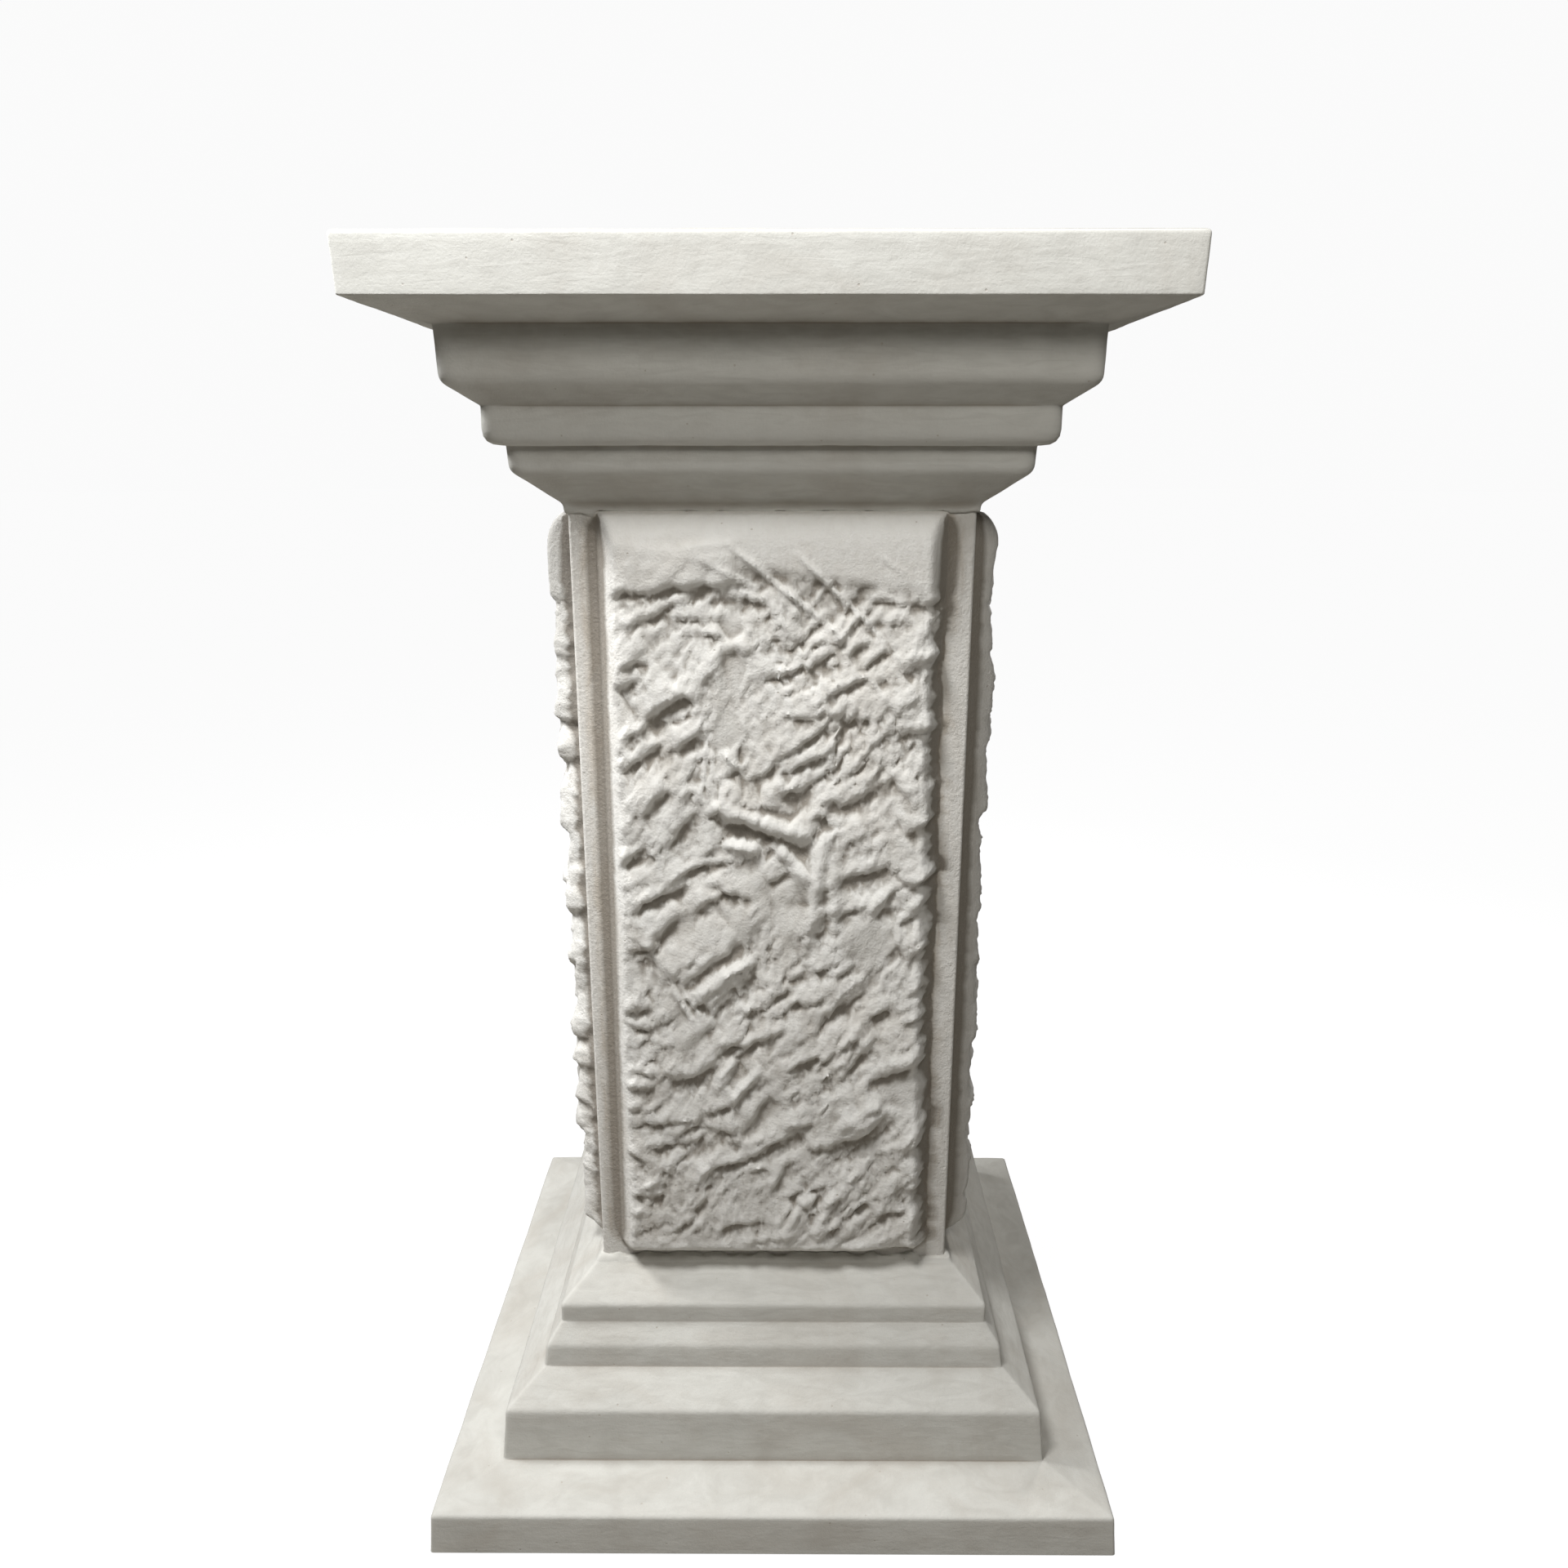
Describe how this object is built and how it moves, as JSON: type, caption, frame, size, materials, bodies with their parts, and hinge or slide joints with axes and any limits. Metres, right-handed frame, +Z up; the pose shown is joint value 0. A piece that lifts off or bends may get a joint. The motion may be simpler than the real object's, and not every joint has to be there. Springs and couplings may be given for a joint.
{
  "type": "cast-stone pedestal column",
  "caption": "Square pedestal column with a stepped base, rock-faced bosses on its shaft and a moulded slab-topped capital.",
  "frame": {"origin": "middle of the underside of the base, on the ground", "axes": "+Z up the column, -Y out of its front, +X to its right as seen from behind the front"},
  "size_m": [0.453, 0.453, 0.8154],
  "materials": {
    "base_stone": "matt, brushed with limewash",
    "shaft_stone": "matt, rock-faced cast stone",
    "capital_stone": "matt, brushed with limewash"
  },
  "bodies": {
    "root": {"base": "base_stone", "shaft": "shaft_stone", "capital": "capital_stone"}
  },
  "joints": []
}
